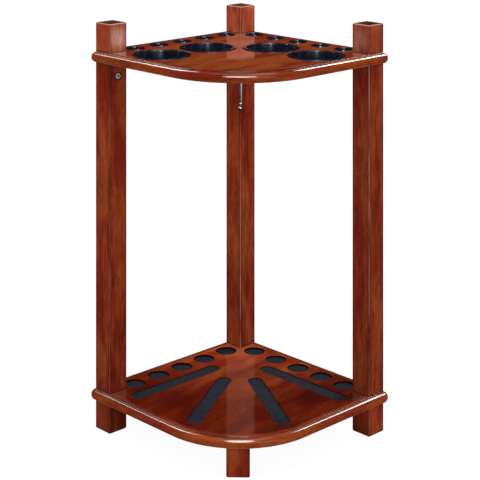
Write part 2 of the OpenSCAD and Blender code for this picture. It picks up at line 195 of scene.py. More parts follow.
def grain_noise(tree, spot, stretch, detail=3.0, rough=0.55, distortion=0.0):
    """Noise on coordinates stretched by a count per metre along each axis."""
    scaled = vector(tree, "MULTIPLY", spot, stretch)
    made = add(tree, "TexNoise", {"Vector": scaled, "Scale": 1.0, "Detail": detail, "Roughness": rough,
                                  "Distortion": distortion})
    return made.outputs[0]


def tone_ramp(tree, value, *stops):
    made = add(tree, "ValToRGB", {"Fac": value})
    elements = made.color_ramp.elements
    while len(elements) < len(stops):
        elements.new(0.5)
    for element, (position, colour) in zip(elements, stops):
        element.position = position
        element.color = (*colour, 1)
    return made.outputs[0]


def bump(tree, height, depth, strength=1.0, normal=None):
    inputs = {"Height": height, "Distance": depth, "Strength": strength}
    if normal is not None:
        inputs["Normal"] = normal
    return add(tree, "Bump", inputs).outputs[0]


def new_material(name):
    """A material with an empty tree, and its output node."""
    material = bpy.data.materials.new(name)
    material.use_nodes = True
    material.node_tree.nodes.clear()
    return material, material.node_tree, add(material.node_tree, "OutputMaterial")


def surface(tree, output, inputs):
    shader = add(tree, "BsdfPrincipled", inputs)
    tree.links.new(shader.outputs[0], output.inputs["Surface"])
    return shader


# ---- Wood ----

UMBER = (0.034, 0.0050, 0.0028)
# Painted shade, mixed in by each shade mask; on the shelves it also darkens random patches of tone
DARK_TONE_AND_SHADE = (0.012, 0.0025, 0.0020)
CRIMSON = (0.195, 0.0180, 0.0065)
AMBER = (0.290, 0.0520, 0.0115)
# Painted highlight: the pale colour painted on arrises and on the top of the nosings
PAINTED_HIGHLIGHT = (0.74, 0.56, 0.44, 1)
# Painted reflection: the colour a piece is painted where other lacquer reflects it
GLARE = (0.60, 0.39, 0.32, 1)


def wood_shader(tree, output, grain, seed, tint, shade, arris=None, figured=1.0, glare=0.0, gloss=1.46,
                peel=0.02 * MM, soft=0.05, lacquer=1.0):
    """Stained, lacquered wood. grain is a position in metres whose Z runs along the fibres.

    shade is painted shade that darkens the stain, with some dark patches of tone on the shelves, and arris is a
    painted highlight that pales it. figured is how strong the figure is and glare is how far the piece is painted
    paler where other lacquer reflects it, a painted reflection. peel is the unevenness of the lacquer, soft the least
    blur of what it reflects and lacquer how much of it there is."""
    offset = (3.1 * seed, 1.7 * seed, 0.37 * seed)
    spot = vector(tree, "ADD", grain, offset)
    wander = add(tree, "TexNoise", {"Vector": vector(tree, "MULTIPLY", spot, (9, 9, 4)), "Detail": 1.0}).outputs[1]
    sway = vector(tree, "MULTIPLY", wander, (0.014, 0.014, 0.0))
    spot = vector(tree, "ADD", spot, sway)

    streak = grain_noise(tree, spot, (260, 260, 9), 4.0, 0.6)
    figure = grain_noise(tree, spot, (70, 70, 4.5), 3.0, 0.5, 0.5)
    mottle = grain_noise(tree, spot, (210, 210, 70), 3.0, 0.6)
    cloud = grain_noise(tree, spot, (22, 22, 9), 2.0)
    fibre = grain_noise(tree, spot, (1100, 1100, 26), 2.0)
    pore = grain_noise(tree, spot, (1500, 1500, 60), 1.0)

    shares = ((streak, 0.26), (figure, 0.26), (mottle, 0.26), (cloud, 0.16), (fibre, 0.06))
    tone = 0.0
    for layer, share in shares:
        tone = calc(tree, "ADD", calc(tree, "MULTIPLY", layer, share), tone)
    spread = 0.14 / figured
    value = add(tree, "MapRange", {0: tone, 1: 0.5 - spread, 2: 0.5 + spread, 3: 0.45, 4: 1.55}).outputs[0]
    hue = fade(tree, grain_noise(tree, spot, (30, 30, 7), 2.0), 0.36, 0.64)
    colour = mix(tree, hue, (*CRIMSON, 1), (*AMBER, 1))
    colour = vector(tree, "MULTIPLY", colour, add(tree, "CombineXYZ", {0: value, 1: value, 2: value}).outputs[0])
    colour = mix(tree, 1.0, colour, tint, "MULTIPLY")
    cathedral = fade(tree, figure, 0.55, 0.70, 0.0, 0.5 * figured)
    colour = mix(tree, cathedral, colour, (*UMBER, 1))
    pores = fade(tree, pore, 0.60, 0.72)
    colour = mix(tree, calc(tree, "MULTIPLY", pores, 0.3), colour, (*UMBER, 1))
    # Painted shade darkens the stain here, and on the shelves some random dark patches of tone
    colour = mix(tree, shade, colour, (*DARK_TONE_AND_SHADE, 1))
    reflected = add(tree, "LightPath").outputs["Is Glossy Ray"]
    # A painted highlight on the arrises, left out of what other lacquer reflects
    if arris is not None:
        plain = calc(tree, "MULTIPLY", calc(tree, "SUBTRACT", 1.0, reflected), arris)
        colour = mix(tree, plain, colour, PAINTED_HIGHLIGHT)
    # A painted reflection: where other lacquer reflects the piece, it is painted paler
    seen = calc(tree, "MULTIPLY", reflected, glare)
    colour = mix(tree, seen, colour, GLARE)

    height = calc(tree, "SUBTRACT", calc(tree, "MULTIPLY", fibre, 0.5), calc(tree, "MULTIPLY", pores, 0.5))
    waves = grain_noise(tree, grain, (160, 160, 160), 1.0)
    surface(tree, output, {
        "Base Color": colour,
        "Roughness": fade(tree, streak, 0.3, 0.7, 0.54, 0.44),
        "Specular IOR Level": 0.0,
        "Normal": bump(tree, height, 0.03 * MM, 0.5),
        "Coat Weight": lacquer,
        "Coat Roughness": fade(tree, cloud, 0.3, 0.7, soft, soft + 0.04),
        "Coat IOR": gloss,
        "Coat Normal": bump(tree, waves, peel, 0.5),
    })


def cam_ring(tree, position, name, half):
    """Painted shade round the pocket of a post's cam, on the face that the cam is sunk in."""
    cam = name.replace("post", "cam")
    radius = (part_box(cam)[1].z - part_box(cam)[0].z) / 2
    outward = middle(cam) - middle(name)
    outward.z = 0
    outward.normalize()
    away = vector(tree, "SUBTRACT", position, middle(cam))
    rise = add(tree, "SeparateXYZ", {0: away}).outputs[2]
    aside = add(tree, "VectorMath", {0: away, 1: outward.cross(UP)}, operation="DOT_PRODUCT").outputs[1]
    apart = calc(tree, "SQRT", calc(tree, "ADD", calc(tree, "POWER", rise, 2.0), calc(tree, "POWER", aside, 2.0)))
    out = add(tree, "VectorMath", {0: vector(tree, "SUBTRACT", position, middle(name)), 1: outward},
              operation="DOT_PRODUCT").outputs[1]
    ring = fade(tree, apart, radius + 0.4 * MM, radius + 1.3 * MM, 0.9, 0.0)
    return calc(tree, "MULTIPLY", ring, fade(tree, out, half - 2 * MM, half - 1 * MM))


def stock_wood(name, seed, glint_low, glint_high, bright, green, blue, square_on):
    """Square stock with its grain upright, a painted highlight on its arrises and painted shade beside them."""
    material, tree, output = new_material("wood_" + name)
    low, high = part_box(name)
    centre = (low + high) / 2
    near, far = reach(name, Vector((1, 0, 0)) if square_on else ALONG_RIGHT)
    half = (far - near) / 2
    position = add(tree, "TexCoord").outputs["Object"]
    local = vector(tree, "SUBTRACT", position, (centre.x, centre.y, 0))
    turn = 0.0 if square_on else math.radians(45)
    turned = add(tree, "VectorRotate", {"Vector": local, "Angle": turn}, rotation_type="Z_AXIS").outputs[0]
    across = add(tree, "SeparateXYZ", {0: vector(tree, "ABSOLUTE", turned)})
    z = add(tree, "SeparateXYZ", {0: local}).outputs[2]
    inner = calc(tree, "MINIMUM", across.outputs[0], across.outputs[1])
    outer = calc(tree, "MAXIMUM", across.outputs[0], across.outputs[1])
    # Long arrises: both distances are near the half side
    arris = fade(tree, inner, half - 1.2 * MM, half - 0.7 * MM)
    along = fade(tree, z, low.z, high.z, glint_low, glint_high)
    arris = calc(tree, "MULTIPLY", arris, along)
    beside = fade(tree, inner, half - 6 * MM, half - 1.5 * MM)
    # End edges: close to the end face and close to a side
    above = calc(tree, "SUBTRACT", high.z, z)
    below = calc(tree, "SUBTRACT", z, low.z)
    side = calc(tree, "SUBTRACT", half, outer)
    top_rim = fade(tree, calc(tree, "MAXIMUM", side, above), 0.9 * MM, 1.9 * MM, 1.0, 0.0)
    low_rim = fade(tree, calc(tree, "MAXIMUM", side, below), 0.9 * MM, 1.7 * MM, 0.9, 0.0)
    is_post, is_finial = name.endswith("post"), name.endswith("finial")
    facing = add(tree, "LayerWeight", {"Blend": 0.5}).outputs["Facing"]
    towards = calc(tree, "SUBTRACT", 1.0, facing, True)
    # edge is a painted highlight on the arrises and a finial's top edges, broken up by noise and strongest where they
    # face the camera
    glint_breakup = fade(tree, grain_noise(tree, position, (60, 60, 14), 3.0), 0.34, 0.60, 0.15, 1.0)
    edge = calc(tree, "MULTIPLY", arris, glint_breakup)
    if is_finial:
        edge = calc(tree, "MAXIMUM", edge, top_rim)
    edge = calc(tree, "MULTIPLY", edge, towards)
    # Painted shade beside the arrises, broken up by noise
    shade_breakup = fade(tree, grain_noise(tree, position, (50, 50, 8), 3.0), 0.35, 0.65, 0.1, 0.6)
    shade = calc(tree, "MULTIPLY", beside, shade_breakup)
    # Painted shade where posts and finials meet the shelves, and round a post's cam pocket
    if is_post or is_finial:
        shade = calc(tree, "MAXIMUM", shade, low_rim)
    if is_post:
        shade = calc(tree, "MAXIMUM", shade, top_rim)
        shade = calc(tree, "MAXIMUM", shade, cam_ring(tree, position, name, half))
    if is_finial:
        crown = fade(tree, above, 0.05 * MM, 0.25 * MM, 0.6, 0.0)
        shade = calc(tree, "MAXIMUM", shade, crown)
    tint = (bright, bright * green, bright * blue, 1)
    soft = 0.28 if is_finial else 0.05
    wood_shader(tree, output, local, seed, tint, shade, edge, glare=0.5, soft=soft)
    return material


VENEER_GRAIN = math.radians(50)


def veneer(name, seed, front, back, rise, blotch, figured):
    """Shelf veneer, its grain slanting across, with painted light: paler towards the corner of the room and along the
    middle.
    """
    material, tree, output = new_material("veneer_" + name)
    position = add(tree, "TexCoord").outputs["Object"]
    x, y, z = add(tree, "SeparateXYZ", {0: position}).outputs
    turned = add(tree, "VectorRotate", {"Vector": position, "Angle": -VENEER_GRAIN}, rotation_type="Z_AXIS").outputs[0]
    ways = add(tree, "SeparateXYZ", {0: turned})
    grain = add(tree, "CombineXYZ", {0: ways.outputs[1], 1: z, 2: ways.outputs[0]}).outputs[0]
    aside = calc(tree, "ABSOLUTE", x)
    # Painted light and shade: paler towards the back and the middle, darker towards the front and sides
    light = calc(tree, "SUBTRACT", fade(tree, y, *rise), fade(tree, aside, 0.03, 0.20, 0.0, 0.25), True)
    tint = mix(tree, light, front, back)
    # Random dark patches, stronger towards the right: partly tone in the veneer, partly painted shade
    patches = fade(tree, grain_noise(tree, grain, (13, 13, 8), 2.0), 0.44, 0.66)
    side = fade(tree, x, -0.12, 0.14, 0.15 * blotch, blotch)
    shade = calc(tree, "MULTIPLY", patches, side)
    # The walls of the recesses and holes are painted dark, as painted shade
    low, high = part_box(name)
    cut = fade(tree, z, high.z - 0.3 * MM, high.z - 0.1 * MM, 1.0, 0.0)
    cut = calc(tree, "MULTIPLY", cut, fade(tree, z, low.z + 0.1 * MM, low.z + 0.3 * MM))
    shade = calc(tree, "MAXIMUM", shade, cut)
    wood_shader(tree, output, grain, seed, tint, shade, figured=figured, gloss=1.55)
    return material


def nosing_wood(name, seed, lip, glint_strength):
    """Nosing, its grain along the run. The UV map holds the run and the distance round the section, in metres."""
    material, tree, output = new_material("nosing_" + name)
    uv = add(tree, "UVMap", uv_map="run").outputs[0]
    run, across = add(tree, "SeparateXYZ", {0: uv}).outputs[:2]
    grain = add(tree, "CombineXYZ", {0: across, 1: 0.0, 2: run}).outputs[0]
    # Painted shade on the step, and a painted highlight on the top of the nose below it
    foot = lip + NOSE_EASE * math.pi / 2 + NOSE_STEP - NOSE_EASE
    under = fade(tree, across, foot - 0.1 * MM, foot + 0.1 * MM)
    past = fade(tree, across, foot + 1.2 * MM, foot + 2.8 * MM)
    glint_breakup = fade(tree, grain_noise(tree, grain, (60, 60, 14), 3.0), 0.34, 0.60, 0.5, 1.0)
    aside = calc(tree, "ABSOLUTE", add(tree, "SeparateXYZ", {0: add(tree, "TexCoord").outputs["Object"]}).outputs[0])
    glint_breakup = calc(tree, "MULTIPLY", glint_breakup, fade(tree, aside, 0.05, 0.13, 0.0, glint_strength))
    arris = calc(tree, "MULTIPLY", calc(tree, "SUBTRACT", under, past), glint_breakup)
    step_shade = calc(tree, "SUBTRACT", fade(tree, across, lip - 0.8 * MM, lip + 0.2 * MM), under)
    shade = calc(tree, "MULTIPLY", step_shade, 0.40)
    # Along the walls the top of the nose is darker and has less lacquer
    away = vector(tree, "SUBTRACT", add(tree, "TexCoord").outputs["Object"], CORNER)
    edges = [add(tree, "VectorMath", {0: away, 1: way}, operation="DOT_PRODUCT").outputs[1]
             for way in (ALONG_LEFT, ALONG_RIGHT)]
    nearest = calc(tree, "MINIMUM", *edges)
    walls = fade(tree, nearest, EDGE_LOW + 8 * MM, EDGE_LOW + 11 * MM, 0.9, 0.0)
    walls = calc(tree, "MULTIPLY", walls, fade(tree, across, foot + 3 * MM, foot + 7 * MM, 1.0, 0.2))
    shade = calc(tree, "MAXIMUM", shade, walls)
    lacquer = calc(tree, "SUBTRACT", 1.0, walls)
    wood_shader(tree, output, grain, seed, (1.05, 1.1, 1.0, 1), shade, arris, peel=0.01 * MM, soft=0.12,
                lacquer=lacquer)
    return material


# ---- Nosings ----

NOSE_WIDTH = 17 * MM
NOSE_STEP = 1.6 * MM
NOSE_EASE = 0.55 * MM


def edge_run():
    """Stations round a shelf's edge, as (centre of curvature, radius, outward angle, distance run)."""
    low, high = EDGE_LOW + TIP_RADIUS, EDGE_HIGH - TIP_RADIUS
    front = EDGE_HIGH - FRONT_RADIUS
    corners = [((low, low), TIP_RADIUS, 180, 10), ((high, low), TIP_RADIUS, 270, 10),
               ((front, front), FRONT_RADIUS, 0, 96), ((low, high), TIP_RADIUS, 90, 10)]
    stations = []
    for centre, radius, start, steps in corners:
        for i in range(steps + 1):
            angle = math.radians(start + 90 * i / steps)
            stations.append((Vector(centre), radius, angle))
    return stations


def nose_section(thickness):
    """(inset, height) points from the inner top, round the nose, to the inner bottom."""
    nose = (thickness - NOSE_STEP) / 2
    points = [(NOSE_WIDTH, thickness)]
    points += arc((nose + NOSE_EASE, thickness - NOSE_EASE), NOSE_EASE, 90, 180, 4)
    points += arc((nose, nose), nose, 90, 270, 26)
    points += [(NOSE_WIDTH, 0.0)]
    return points


def nosing(name, seed, glint_strength):
    low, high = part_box(name)
    section = nose_section(high.z - low.z)
    stations = edge_run()
    inner_low, inner_high = EDGE_LOW + NOSE_WIDTH, EDGE_HIGH - NOSE_WIDTH
    bm = bmesh.new()
    layer = bm.loops.layers.uv.new("run")
    rings, runs, run, last = [], [], 0.0, None
    for centre, radius, angle in stations:
        outward = Vector((math.cos(angle), math.sin(angle)))
        edge = centre + outward * radius
        run += (edge - last).length if last is not None else 0.0
        last = edge
        ring = []
        for inset, height in section:
            spot = edge - outward * inset
            if inset == NOSE_WIDTH:
                spot = Vector([min(max(value, inner_low), inner_high) for value in spot])
            ring.append(bm.verts.new(place("left", spot.x, spot.y, low.z + height)))
        rings.append(ring)
        runs.append(run)
    closing = run + (centre + outward * radius - (stations[0][0] + Vector((-stations[0][1], 0)))).length
    lengths = [0.0]
    for (a, b), (c, d) in zip(section, section[1:]):
        lengths.append(lengths[-1] + math.hypot(c - a, d - b))
    lengths.append(lengths[-1] + high.z - low.z)
    count = len(section)
    for i, ring in enumerate(rings):
        following = rings[(i + 1) % len(rings)]
        u = (runs[i], runs[i + 1] if i + 1 < len(rings) else closing)
        for j in range(count):
            k = (j + 1) % count
            face = bm.faces.new((ring[j], following[j], following[k], ring[k]))
            spots = ((u[0], lengths[j]), (u[1], lengths[j]), (u[1], lengths[j + 1]), (u[0], lengths[j + 1]))
            for loop, spot in zip(face.loops, spots):
                loop[layer].uv = spot
    bmesh.ops.remove_doubles(bm, verts=bm.verts, dist=1e-6)
    lip = lengths[1]
    piece = finish_mesh(name + "_run", bm, nosing_wood(name, seed, lip, glint_strength), "rack", 40)
    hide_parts(name)


# ---- Felt ----

FELT_EDGE = 0.7 * MM
FELT_PILE = 0.10 * MM
FELT_SPACING = 1.6 * MM
INNER_STRIP_TURN = math.radians(30)


def felt():
    material, tree, output = new_material("felt")
    position = add(tree, "TexCoord").outputs["Object"]
    fibres = add(tree, "TexNoise", {"Vector": position, "Scale": 1500.0, "Detail": 6.0, "Roughness": 0.7,
                                    "Distortion": 1.2}).outputs[0]
    blotch = add(tree, "TexNoise", {"Vector": position, "Scale": 170.0, "Detail": 4.0, "Roughness": 0.6}).outputs[0]
    strands = add(tree, "TexVoronoi", {"Vector": position, "Scale": 900.0}, feature="DISTANCE_TO_EDGE").outputs[0]
    tone = calc(tree, "ADD", calc(tree, "MULTIPLY", blotch, 0.6), calc(tree, "MULTIPLY", fibres, 0.4))
    colour = tone_ramp(tree, tone, (0.38, (0.0012, 0.0028, 0.008)), (0.5, (0.0040, 0.0062, 0.018)),
                       (0.62, (0.016, 0.019, 0.042)))
    height = calc(tree, "ADD", fibres, calc(tree, "MULTIPLY", strands, 0.6))
    surface(tree, output, {
        "Base Color": colour,
        "Roughness": 0.95,
        "Specular IOR Level": 0.15,
        "Normal": bump(tree, height, 0.25 * MM, 0.8),
        "Sheen Weight": 0.07,
        "Sheen Roughness": 0.45,
        "Sheen Tint": (0.42, 0.50, 0.66, 1),
    })
    return material


def felt_slab(bm, start, direction, length, radius, base, top, steps_end, steps_side):
    """A pressed felt piece: soft rim, flat middle and an uneven pile."""
    across = UP.cross(direction)
    outline = stadium(length, steps_end, steps_side)
    rise = top - base
    turns = [math.radians(15 * i) for i in range(7)]
    levels = [(0.0, 0.0)]
    levels += [(FELT_EDGE * (1 - math.cos(a)), rise - FELT_EDGE * (1 - math.sin(a))) for a in turns]
    inward = int((radius - FELT_EDGE) / FELT_SPACING)
    levels += [(FELT_EDGE + (radius - FELT_EDGE) * i / inward, rise) for i in range(1, inward)]
    rings = []
    for inset, height in levels:
        ring = []
        for angle, along in outline:
            out = radius - inset
            spot = start + direction * (along + out * math.cos(angle)) + across * (out * math.sin(angle))
            pile = FELT_PILE * (noise.fractal(spot * 330, 0.8, 2.2, 3) + noise.noise(spot * 90))
            spot.z = base + height + (min(pile, FELT_PILE / 2) if height > 0 else 0)
            ring.append(bm.verts.new(spot))
        rings.append(ring)
    count = len(outline)
    for a, b in zip(rings, rings[1:]):
        for k in range(count):
            bm.faces.new((a[k], a[(k + 1) % count], b[(k + 1) % count], b[k]))
    bm.faces.new(rings[0])
    close_middle(bm, rings[-1], steps_end, steps_side)


def close_middle(bm, ring, steps_end, steps_side):
    """Fills a stadium's innermost ring: quads between its sides and a cap at each end."""
    if not steps_side:
        bm.faces.new(ring)
        return
    far_start = steps_end + steps_side
    near_end, lower = ring[:steps_end], ring[steps_end:far_start]
    far_end, upper = ring[far_start:far_start + steps_end], ring[far_start + steps_end:]
    bottom = lower + [far_end[0]]
    top = [near_end[0]] + upper[::-1]
    for a, b, c, d in zip(bottom, bottom[1:], top[1:], top):
        bm.faces.new((a, b, c, d))
    bm.faces.new(near_end + [lower[0]])
    bm.faces.new(far_end + [upper[0]])


def ball_rest(side, which, material):
    """One felt strip, laid where its CAD solid is."""
    name = f"strip_{side}_{which}"
    low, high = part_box(name)
    edge, inwards = (ALONG_LEFT, ALONG_RIGHT) if side == "left" else (ALONG_RIGHT, ALONG_LEFT)
    turn = INNER_STRIP_TURN if which == "inner" else 0.0
    direction = edge * math.cos(turn) + inwards * math.sin(turn)
    across = reach(name, UP.cross(direction))
    ends = reach(name, direction)
    radius = (across[1] - across[0]) / 2
    length = ends[1] - ends[0] - 2 * radius
    start = middle(name) - direction * length / 2
    bm = bmesh.new()
    felt_slab(bm, start, direction, length, radius, low.z, high.z, 28, 110)
    piece = finish_mesh(name + "_felt", bm, material, "rack", 180)
    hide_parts(name)


def butt_discs(material):
    """Felt discs in the recesses, which lie a little outward and forward of the cue rings."""
    low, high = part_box("butt_pads")
    ys = [spot.y for spot in CUES]
    radius = (high.y - low.y - max(ys) + min(ys)) / 2
    forward = (max(ys) + min(ys)) / 2 - middle("butt_pads").y
    outward = high.x - radius - max(spot.x for spot in CUES)
    bm = bmesh.new()
    for spot in CUES:
        moved = spot + Vector((math.copysign(outward, spot.x), -forward, 0))
        felt_slab(bm, moved, Vector((1, 0, 0)), 0.0, radius, low.z, high.z, 36, 0)
    piece = finish_mesh("butt_discs_felt", bm, material, "rack", 180)
    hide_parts("butt_pads")


# ---- Black mouldings ----

def black_plastic():
    material, tree, output = new_material("black_plastic")
    position = add(tree, "TexCoord").outputs["Object"]
    smudge = add(tree, "TexNoise", {"Vector": position, "Scale": 45.0, "Detail": 5.0, "Roughness": 0.6}).outputs[0]
    dust = add(tree, "TexNoise", {"Vector": position, "Scale": 900.0, "Detail": 3.0, "Roughness": 0.7}).outputs[0]
    colour = tone_ramp(tree, smudge, (0.3, (0.005, 0.008, 0.018)), (0.7, (0.010, 0.015, 0.030)))
    colour = mix(tree, fade(tree, dust, 0.62, 0.80, 0.0, 0.12), colour, (0.12, 0.13, 0.16, 1))
    surface(tree, output, {
        "Base Color": colour,
        "Roughness": fade(tree, smudge, 0.25, 0.75, 0.16, 0.27),
        "Specular IOR Level": 0.55,
        "Normal": bump(tree, smudge, 0.02 * MM, 0.5),
        "Coat Weight": 0.5,
        "Coat Roughness": 0.06,
    })
    return material


RING_WALL = 1.65 * MM
RING_RIM = 0.45 * MM
RING_BELL = 4.0 * MM
BELL_TURNS = [math.radians(10 * i) for i in range(10)]


def cue_rings(material):
    """Flanged rings: a rolled lip on the shelf and a short sleeve through it."""
    low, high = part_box("cue_rings")
    flange = high.x - max(spot.x for spot in CUES)
    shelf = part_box("top_shelf")[1].z
    rise = high.z - shelf
    bell = flange - RING_RIM - BORE - rise
    lip = [(BORE + bell * (1 - math.cos(a)), rise - RING_BELL * (1 - math.sin(a))) for a in BELL_TURNS]
    lip += arc((flange - RING_RIM, 0), RING_RIM, 75, 0, 4)
    profile = [(BORE, low.z - shelf)] + lip + [(BORE + RING_WALL, 0.0), (BORE + RING_WALL, low.z - shelf)]
    bm = bmesh.new()
    for spot in CUES:
        lathe(bm, profile, spot + UP * shelf, 72)
    piece = finish_mesh("cue_ring_set", bm, material, "rack", 40)
    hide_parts("cue_rings")


CUP_FLANGE = 9 * MM
CUP_WALL = 2 * MM
CUP_DRAFT = 2.5 * MM
CUP_FOOT_ROUND = 5 * MM
CUP_BEAD = 0.7 * MM
CUP_FLARE = 2.0 * MM


def cup_holder(name, material):
    """A drop-in dish: domed flange, a bead at the mouth, drafted wall and a rounded floor."""
    low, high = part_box(name)
    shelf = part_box("top_shelf")[1].z
    outer = (high.x - low.x) / 2
    mouth = outer - CUP_FLANGE
    rise, deep = high.z - shelf, low.z - shelf
    floor_r = mouth - CUP_DRAFT
    floor_z = deep + CUP_WALL
    profile = [(0.0, floor_z + 0.4 * MM), (floor_r * 0.5, floor_z + 0.2 * MM)]
    profile += arc((floor_r - CUP_FOOT_ROUND, floor_z + CUP_FOOT_ROUND), CUP_FOOT_ROUND, 270, 360, 8)
    profile += [(mouth - CUP_FLARE, 0.45 * deep), (mouth - CUP_BEAD, -4 * CUP_BEAD)]
    profile += arc((mouth, -1.5 * CUP_BEAD), CUP_BEAD, 210, 120, 4)
    profile += arc((mouth + rise, 0.0), rise, 170, 90, 8)
    profile += [(outer - 3.2 * MM, 0.88 * rise), (outer - 1.6 * MM, 0.62 * rise)]
    profile += arc((outer - 0.5 * MM, 0.5 * MM), 0.5 * MM, 60, -90, 5)
    profile += [(mouth + CUP_WALL, 0.0), (floor_r + CUP_WALL, deep + CUP_FOOT_ROUND)]
    profile += arc((floor_r + CUP_WALL - CUP_FOOT_ROUND, deep + CUP_FOOT_ROUND), CUP_FOOT_ROUND, 0, -90, 6)
    profile += [(0.0, deep)]
    bm = bmesh.new()
    centre = middle(name)
    centre.z = shelf
    lathe(bm, profile, centre, 144)
    piece = finish_mesh(name + "_dish", bm, material, name, 50)
    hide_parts(name)


# ---- Metal ----

def metal(name, colour, rough, scratch, cam=None):
    """Plated metal. On a cam, what lies below its outer face and a ring round the edge of that face are painted dark,
    as painted shade.
    """
    material, tree, output = new_material(name)
    position = add(tree, "TexCoord").outputs["Object"]
    scuff = add(tree, "TexNoise", {"Vector": position, "Scale": 260.0, "Detail": 5.0, "Roughness": 0.65,
                                   "Distortion": 0.8}).outputs[0]
    fine = add(tree, "TexNoise", {"Vector": position, "Scale": 2600.0, "Detail": 3.0}).outputs[0]
    darker = tuple(0.62 * value for value in colour)
    tint = mix(tree, fade(tree, scuff, 0.35, 0.7), (*darker, 1), (*colour, 1))
    if cam:
        outward = (middle(cam) - middle(cam.replace("cam", "post"))) * Vector((1, 1, 0))
        outward.normalize()
        level = add(tree, "VectorMath", {0: position, 1: outward}, operation="DOT_PRODUCT").outputs[1]
        face = reach(cam, outward)[1]
        tint = mix(tree, fade(tree, level, face - 0.5 * MM, face - 0.1 * MM), (0.03, 0.025, 0.02, 1), tint)
        radius = (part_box(cam)[1].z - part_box(cam)[0].z) / 2
        away = vector(tree, "SUBTRACT", position, middle(cam))
        out = add(tree, "VectorMath", {0: away, 1: outward}, operation="DOT_PRODUCT").outputs[1]
        apart = add(tree, "VectorMath", {0: away}, operation="LENGTH").outputs[1]
        apart = calc(tree, "SQRT", calc(tree, "SUBTRACT", calc(tree, "POWER", apart, 2.0),
                                        calc(tree, "POWER", out, 2.0)))
        tint = mix(tree, fade(tree, apart, 0.60 * radius, 0.85 * radius), tint, (0.03, 0.025, 0.02, 1))
    surface(tree, output, {
        "Base Color": tint,
        "Metallic": 1.0,
        "Roughness": fade(tree, scuff, 0.3, 0.7, rough * 1.4, rough * 0.8),
        "Normal": bump(tree, fine, scratch * MM, 0.5),
    })
    return material


def beech():
    material, tree, output = new_material("beech")
    position = add(tree, "TexCoord").outputs["Object"]
    streak = grain_noise(tree, position, (700, 700, 30), 4.0)
    fleck = grain_noise(tree, position, (1600, 1600, 300), 2.0)
    colour = tone_ramp(tree, streak, (0.3, (0.45, 0.28, 0.14)), (0.7, (0.68, 0.48, 0.28)))
    colour = mix(tree, fade(tree, fleck, 0.6, 0.7, 0.0, 0.5), colour, (0.30, 0.17, 0.08, 1))
    surface(tree, output, {"Base Color": colour, "Roughness": 0.7, "Normal": bump(tree, streak, 0.1 * MM, 0.5)})
    return material


# ---- Building the rack's looks ----

def dress(name, material):
    """Gives a CAD node that stays on show its material."""
    materials = frame["nodes"][name].data.materials
    for i in range(len(materials)):
        materials[i] = material


MOUNTS = frame["record"]["mounts"]
CUES = [Vector((*mount["pos_m"][:2], 0)) for mount in MOUNTS if mount["name"].startswith("cue_")]
BORE = next(mount["dims"]["r_mm"] for mount in MOUNTS if mount["name"].startswith("cue_")) * MM

# How strong the painted highlight on each piece's arrises is at its lower and upper end, how bright it is (its stain,
# with painted light in it: the finials are painted brighter for the light they catch), and the green and blue in it
STOCK = {
    "back_post": (0.70, 0.08, 1.05, 1.00, 1.25), "left_post": (0.14, 0.06, 0.95, 1.00, 1.25),
    "right_post": (0.18, 0.45, 0.84, 1.00, 1.25),
    "back_finial": (0.30, 0.30, 2.35, 1.50, 1.45), "left_finial": (0.15, 0.10, 1.70, 1.40, 1.25),
    "right_finial": (0.15, 0.10, 1.45, 1.45, 1.25),
    "back_foot": (0.1, 0.1, 0.90, 1.00, 1.25), "left_foot": (0.12, 0.05, 0.88, 1.05, 1.40),
    "right_foot": (0.15, 0.15, 0.95, 0.90, 1.15), "front_foot": (0.1, 0.1, 0.95, 1.00, 1.25),
}
for number, (node_name, look) in enumerate(STOCK.items()):
    dress(node_name, stock_wood(node_name, number + 1, *look, node_name == "front_foot"))
# Front and back tints hold painted light: the bottom shelf is painted darker at the front, as painted shade under the
# top shelf
dress("bottom_shelf", veneer("bottom_shelf", 20, (0.62, 0.36, 0.17, 1), (2.05, 2.15, 1.95, 1), (-0.13, 0.20),
                             0.5, 0.5))
dress("top_shelf", veneer("top_shelf", 21, (1.32, 1.45, 1.15, 1), (1.45, 1.50, 1.3, 1), (-0.20, 0.14),
                          0.1, 0.5))
nosing("bottom_nosing", 30, 0.35)
nosing("top_nosing", 31, 0.9)

felt_cloth = felt()
butt_discs(felt_cloth)
plastic = black_plastic()
cue_rings(plastic)
for side in SIDES:
    for which in ("outer", "inner"):
        ball_rest(side, which, felt_cloth)
        cup_holder(f"cup_{side}_{which}", plastic)

zinc = metal("zinc", (0.56, 0.55, 0.53), 0.30, 0.02)
nickel = metal("nickel", (0.80, 0.77, 0.71), 0.16, 0.01)
brass = metal("brass", (0.62, 0.45, 0.20), 0.30, 0.02)
peg = beech()
FITTINGS = {zinc: ["cam_bolts", "foot_bolts", "front_foot_bolt"], nickel: ["hook"], brass: ["threaded_inserts"],
            peg: ["upper_dowels", "lower_dowels", "front_foot_dowel"]}
for finish, members in FITTINGS.items():
    for node_name in members:
        dress(node_name, finish)
CAMS = ("back_cam", "left_cam", "right_cam")
for node_name in CAMS:
    dress(node_name, metal("zinc_" + node_name, (0.95, 0.86, 0.70), 0.24, 0.04, node_name))


# ---- Floor, light and camera ----

